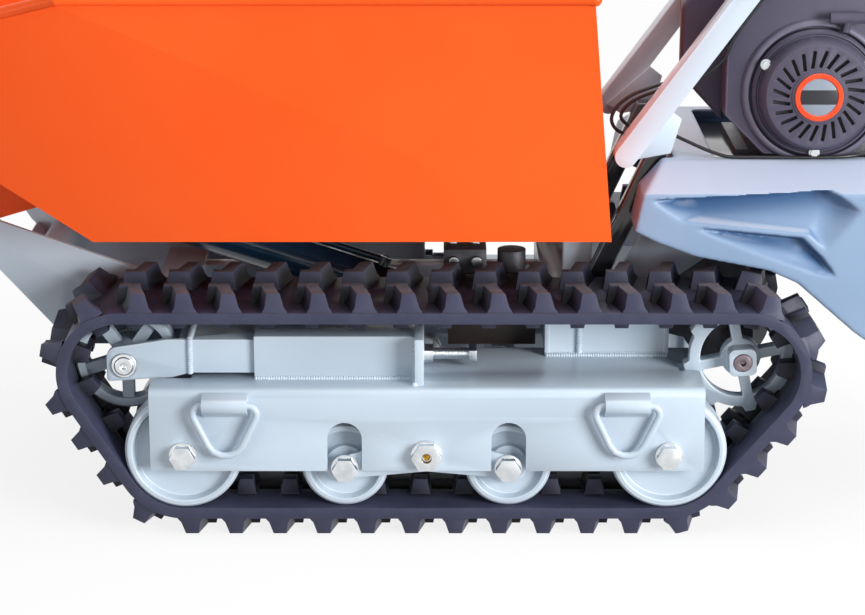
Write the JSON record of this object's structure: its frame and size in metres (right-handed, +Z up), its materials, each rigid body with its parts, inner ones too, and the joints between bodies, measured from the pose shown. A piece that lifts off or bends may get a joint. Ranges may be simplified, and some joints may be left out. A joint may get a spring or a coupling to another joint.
{
  "type": "tracked power carrier",
  "caption": "Walk-behind tracked carrier with rubber tracks, sprung-tension idlers, rocking bogies, a forward tipping skip, an engine at the rear and raised handlebars.",
  "frame": {"origin": "on the ground under the middle of the machine's box", "axes": "+X rearward, +Y to the machine's right, +Z up"},
  "size_m": [1.701, 0.746, 1.0483],
  "materials": {
    "paint": "semi-gloss",
    "cowl_plastic": "satin",
    "track_rubber": "matte",
    "zinc_steel": "bright",
    "axle_steel": "turned",
    "skip_paint": "gloss",
    "tank_paint": "gloss",
    "cylinder_paint": "gloss",
    "cast_metal": "cast",
    "muffler_steel": "heat dulled",
    "unit_paint": "satin",
    "engine_plastic": "satin",
    "post_paint": "semi-gloss",
    "grip_rubber": "matte",
    "lever_coat": "satin",
    "cable_sheath": "satin"
  },
  "bodies": {
    "chassis": {"track_left": "track_rubber", "track_right": "track_rubber", "track_beam_left": "paint", "track_beam_right": "paint", "tension_box_left": "paint", "tension_box_right": "paint", "axle_bolts": "zinc_steel", "control_cables": "cable_sheath", "main_frame": "paint", "snout": "paint", "tip_pins": "zinc_steel", "gearbox": "cast_metal", "hydraulic_unit": "unit_paint", "rear_frame": "paint", "cowl": "cowl_plastic", "engine_block": "cast_metal", "fan_shroud": "engine_plastic", "recoil_cover": "engine_plastic", "fuel_tank": "tank_paint", "muffler": "muffler_steel", "air_cleaner": "engine_plastic", "lower_posts": "post_paint", "handle_frame": "paint", "grips": "grip_rubber"},
    "skip": {"skip": "skip_paint", "skip_brackets": "skip_paint"},
    "barrel": {"cylinder_barrel": "cylinder_paint"},
    "rod": {"cylinder_rod": "zinc_steel"},
    "starter_grip": {"starter_grip": "engine_plastic"},
    "tank_cap": {"tank_cap": "engine_plastic"},
    "throttle_lever": {"throttle_lever": "lever_coat"},
    "gear_lever": {"gear_lever": "lever_coat"},
    "tip_lever": {"tip_lever": "lever_coat"},
    "drive_lever": {"drive_lever": "lever_coat"},
    "drive_left": {"sprocket_left": "paint", "axle_left": "axle_steel"},
    "yoke_left": {"yoke_left": "paint"},
    "tension_bolt_left": {"tension_bolt_left": "zinc_steel"},
    "idler_left": {"idler_left": "paint"},
    "front_roller_left": {"front_roller_left": "paint"},
    "rear_roller_left": {"rear_roller_left": "paint"},
    "bogie_left": {"bogie_left": "paint"},
    "bogie_roller_a_left": {"bogie_roller_a_left": "paint"},
    "bogie_roller_b_left": {"bogie_roller_b_left": "paint"},
    "ring_front_left": {"ring_front_left": "paint"},
    "ring_rear_left": {"ring_rear_left": "paint"},
    "steer_lever_left": {"steer_lever_left": "lever_coat"},
    "drive_right": {"sprocket_right": "paint", "axle_right": "axle_steel"},
    "yoke_right": {"yoke_right": "paint"},
    "tension_bolt_right": {"tension_bolt_right": "zinc_steel"},
    "idler_right": {"idler_right": "paint"},
    "front_roller_right": {"front_roller_right": "paint"},
    "rear_roller_right": {"rear_roller_right": "paint"},
    "bogie_right": {"bogie_right": "paint"},
    "bogie_roller_a_right": {"bogie_roller_a_right": "paint"},
    "bogie_roller_b_right": {"bogie_roller_b_right": "paint"},
    "ring_front_right": {"ring_front_right": "paint"},
    "ring_rear_right": {"ring_rear_right": "paint"},
    "steer_lever_right": {"steer_lever_right": "lever_coat"}
  },
  "joints": [
    {"name": "sprocket_turn_left", "type": "hinge", "parent": "chassis", "child": "drive_left", "pos_m": [0.424, -0.25, 0.231], "axis": [0, 1, 0], "continuous": true, "deforming": ["track_left"]},
    {"name": "tension_slide_left", "type": "slide", "parent": "chassis", "child": "yoke_left", "axis": [1, 0, 0], "range_m": [0, 0.012], "deforming": ["track_left"]},
    {"name": "tension_screw_left", "type": "hinge", "parent": "yoke_left", "child": "tension_bolt_left", "pos_m": [0.02, -0.25, 0.234], "axis": [1, 0, 0], "range_deg": [0, 2160]},
    {"name": "idler_turn_left", "type": "hinge", "parent": "yoke_left", "child": "idler_left", "pos_m": [-0.42, -0.25, 0.231], "axis": [0, 1, 0], "continuous": true},
    {"name": "front_roller_turn_left", "type": "hinge", "parent": "chassis", "child": "front_roller_left", "pos_m": [-0.338, -0.25, 0.1206], "axis": [0, 1, 0], "continuous": true},
    {"name": "rear_roller_turn_left", "type": "hinge", "parent": "chassis", "child": "rear_roller_left", "pos_m": [0.32, -0.25, 0.1206], "axis": [0, 1, 0], "continuous": true},
    {"name": "bogie_rock_left", "type": "hinge", "parent": "chassis", "child": "bogie_left", "pos_m": [-0.008, -0.25, 0.121], "axis": [0, 1, 0], "range_deg": [-3, 3], "deforming": ["track_left"]},
    {"name": "bogie_roller_a_turn_left", "type": "hinge", "parent": "bogie_left", "child": "bogie_roller_a_left", "pos_m": [-0.119, -0.25, 0.0996], "axis": [0, 1, 0], "continuous": true},
    {"name": "bogie_roller_b_turn_left", "type": "hinge", "parent": "bogie_left", "child": "bogie_roller_b_left", "pos_m": [0.103, -0.25, 0.0996], "axis": [0, 1, 0], "continuous": true},
    {"name": "ring_front_swing_left", "type": "hinge", "parent": "chassis", "child": "ring_front_left", "pos_m": [-0.279, -0.362, 0.195], "axis": [-1, 0, 0], "range_deg": [0, 150]},
    {"name": "ring_rear_swing_left", "type": "hinge", "parent": "chassis", "child": "ring_rear_left", "pos_m": [0.262, -0.362, 0.195], "axis": [-1, 0, 0], "range_deg": [0, 150]},
    {"name": "steer_lever_squeeze_left", "type": "hinge", "parent": "chassis", "child": "steer_lever_left", "pos_m": [0.714, -0.238, 0.922], "axis": [0, -1, 0], "range_deg": [0, 9], "stiffness_Nm_per_rad": 1.2, "springref_deg": -5.73},
    {"name": "sprocket_turn_right", "type": "hinge", "parent": "chassis", "child": "drive_right", "pos_m": [0.424, 0.25, 0.231], "axis": [0, 1, 0], "continuous": true, "deforming": ["track_right"]},
    {"name": "tension_slide_right", "type": "slide", "parent": "chassis", "child": "yoke_right", "axis": [1, 0, 0], "range_m": [0, 0.012], "deforming": ["track_right"]},
    {"name": "tension_screw_right", "type": "hinge", "parent": "yoke_right", "child": "tension_bolt_right", "pos_m": [0.02, 0.25, 0.234], "axis": [1, 0, 0], "range_deg": [0, 2160]},
    {"name": "idler_turn_right", "type": "hinge", "parent": "yoke_right", "child": "idler_right", "pos_m": [-0.42, 0.25, 0.231], "axis": [0, 1, 0], "continuous": true},
    {"name": "front_roller_turn_right", "type": "hinge", "parent": "chassis", "child": "front_roller_right", "pos_m": [-0.338, 0.25, 0.1206], "axis": [0, 1, 0], "continuous": true},
    {"name": "rear_roller_turn_right", "type": "hinge", "parent": "chassis", "child": "rear_roller_right", "pos_m": [0.32, 0.25, 0.1206], "axis": [0, 1, 0], "continuous": true},
    {"name": "bogie_rock_right", "type": "hinge", "parent": "chassis", "child": "bogie_right", "pos_m": [-0.008, 0.25, 0.121], "axis": [0, 1, 0], "range_deg": [-3, 3], "deforming": ["track_right"]},
    {"name": "bogie_roller_a_turn_right", "type": "hinge", "parent": "bogie_right", "child": "bogie_roller_a_right", "pos_m": [-0.119, 0.25, 0.0996], "axis": [0, 1, 0], "continuous": true},
    {"name": "bogie_roller_b_turn_right", "type": "hinge", "parent": "bogie_right", "child": "bogie_roller_b_right", "pos_m": [0.103, 0.25, 0.0996], "axis": [0, 1, 0], "continuous": true},
    {"name": "ring_front_swing_right", "type": "hinge", "parent": "chassis", "child": "ring_front_right", "pos_m": [-0.279, 0.362, 0.195], "axis": [1, 0, 0], "range_deg": [0, 150]},
    {"name": "ring_rear_swing_right", "type": "hinge", "parent": "chassis", "child": "ring_rear_right", "pos_m": [0.262, 0.362, 0.195], "axis": [1, 0, 0], "range_deg": [0, 150]},
    {"name": "steer_lever_squeeze_right", "type": "hinge", "parent": "chassis", "child": "steer_lever_right", "pos_m": [0.714, 0.238, 0.922], "axis": [0, -1, 0], "range_deg": [0, 9], "stiffness_Nm_per_rad": 1.2, "springref_deg": -5.73},
    {"name": "skip_tip", "type": "hinge", "parent": "chassis", "child": "skip", "pos_m": [-0.655, 0, 0.404], "axis": [0, -1, 0], "range_deg": [0, 60]},
    {"name": "cylinder_swing", "type": "hinge", "parent": "chassis", "child": "barrel", "pos_m": [-0.041, 0, 0.25], "axis": [0, 1, 0], "range_deg": [0, 2.66]},
    {"name": "cylinder_stroke", "type": "slide", "parent": "barrel", "child": "rod", "axis": [-0.9502, 0, 0.3116], "range_m": [0, 0.0648]},
    {"name": "starter_pull", "type": "slide", "parent": "chassis", "child": "starter_grip", "axis": [0.2999, -0.7998, 0.5199], "range_m": [0, 0.3], "stiffness_N_per_m": 20, "springref_m": -0.1},
    {"name": "cap_turn", "type": "hinge", "parent": "chassis", "child": "tank_cap", "pos_m": [0.556, -0.012, 0.8], "axis": [0, 0, 1], "range_deg": [0, 90]},
    {"name": "drive_lever_squeeze", "type": "hinge", "parent": "chassis", "child": "drive_lever", "pos_m": [0.714, -0.238, 0.978], "axis": [0, 1, 0], "range_deg": [0, 9], "stiffness_Nm_per_rad": 1.2, "springref_deg": -5.73},
    {"name": "throttle_swing", "type": "hinge", "parent": "chassis", "child": "throttle_lever", "pos_m": [0.714, 0.238, 0.978], "axis": [0, 1, 0], "range_deg": [0, 50]},
    {"name": "gear_shift", "type": "hinge", "parent": "chassis", "child": "gear_lever", "pos_m": [0.51625, -0.045, 0.91236], "axis": [0, 1, 0], "range_deg": [-14, 14]},
    {"name": "tip_valve_swing", "type": "hinge", "parent": "chassis", "child": "tip_lever", "pos_m": [0.51625, 0.045, 0.91236], "axis": [0, 1, 0], "range_deg": [-14, 14], "stiffness_Nm_per_rad": 4}
  ],
  "couplings": [
    {"joint": "tension_screw_left", "follows": "tension_slide_left", "rad_per_m": 3141.6},
    {"joint": "idler_turn_left", "follows": "sprocket_turn_left", "ratio": 1},
    {"joint": "front_roller_turn_left", "follows": "sprocket_turn_left", "ratio": 0.9589},
    {"joint": "rear_roller_turn_left", "follows": "sprocket_turn_left", "ratio": 0.9589},
    {"joint": "bogie_roller_a_turn_left", "follows": "sprocket_turn_left", "ratio": 1.3002},
    {"joint": "bogie_roller_b_turn_left", "follows": "sprocket_turn_left", "ratio": 1.3002},
    {"joint": "tension_screw_right", "follows": "tension_slide_right", "rad_per_m": 3141.6},
    {"joint": "idler_turn_right", "follows": "sprocket_turn_right", "ratio": 1},
    {"joint": "front_roller_turn_right", "follows": "sprocket_turn_right", "ratio": 0.9589},
    {"joint": "rear_roller_turn_right", "follows": "sprocket_turn_right", "ratio": 0.9589},
    {"joint": "bogie_roller_a_turn_right", "follows": "sprocket_turn_right", "ratio": 1.3002},
    {"joint": "bogie_roller_b_turn_right", "follows": "sprocket_turn_right", "ratio": 1.3002},
    {"joint": "cylinder_swing", "follows": "skip_tip", "ratio": 0.041},
    {"joint": "cylinder_stroke", "follows": "skip_tip", "m_per_rad": 0.06}
  ]
}
